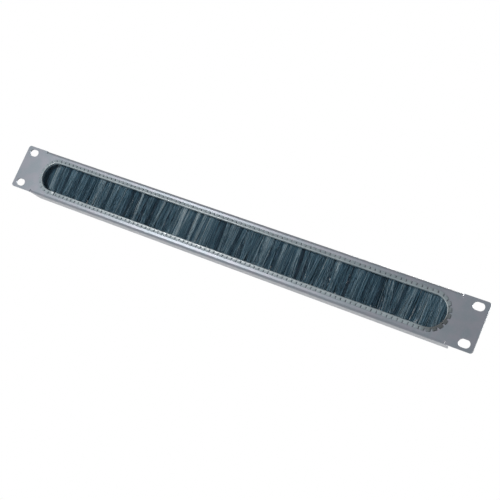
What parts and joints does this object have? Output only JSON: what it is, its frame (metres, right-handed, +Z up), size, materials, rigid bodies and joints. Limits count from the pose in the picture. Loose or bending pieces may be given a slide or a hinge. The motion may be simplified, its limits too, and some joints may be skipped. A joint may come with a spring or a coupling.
{
  "type": "rack brush strip panel",
  "caption": "Folded sheet rack panel with a long round-ended cable opening, edged by a toothed strip and closed by a hanging brush of stiff filaments.",
  "frame": {"origin": "centre of the four mounting slots, on the back of the ears where they seat on the rack rails", "axes": "+X along the panel's width, to the right seen from the front; -Y out of the front face; +Z up"},
  "size_m": [0.4826, 0.0205, 0.0436],
  "materials": {
    "painted_sheet": "satin silver-grey powder coat",
    "edging_nylon": "semi-gloss light grey nylon",
    "extruded_aluminium": "mill finish",
    "galvanised_steel": "galvanised",
    "drawn_wire": "drawn",
    "filament": "dark blue-grey nylon filament",
    "stud_steel": "copper-flashed weld stud",
    "zinc_plate": "bright zinc plate"
  },
  "bodies": {
    "root": {"panel": "painted_sheet", "edge_trim": "edging_nylon", "brush_carrier": "extruded_aluminium", "brush_channel": "galvanised_steel", "core_wire": "drawn_wire", "bristles": "filament", "weld_stud_1": "stud_steel", "weld_stud_2": "stud_steel", "weld_stud_3": "stud_steel", "weld_stud_4": "stud_steel", "weld_stud_5": "stud_steel", "washer_1": "zinc_plate", "washer_2": "zinc_plate", "washer_3": "zinc_plate", "washer_4": "zinc_plate", "washer_5": "zinc_plate", "nut_1": "zinc_plate", "nut_2": "zinc_plate", "nut_3": "zinc_plate", "nut_4": "zinc_plate", "nut_5": "zinc_plate"}
  },
  "joints": []
}
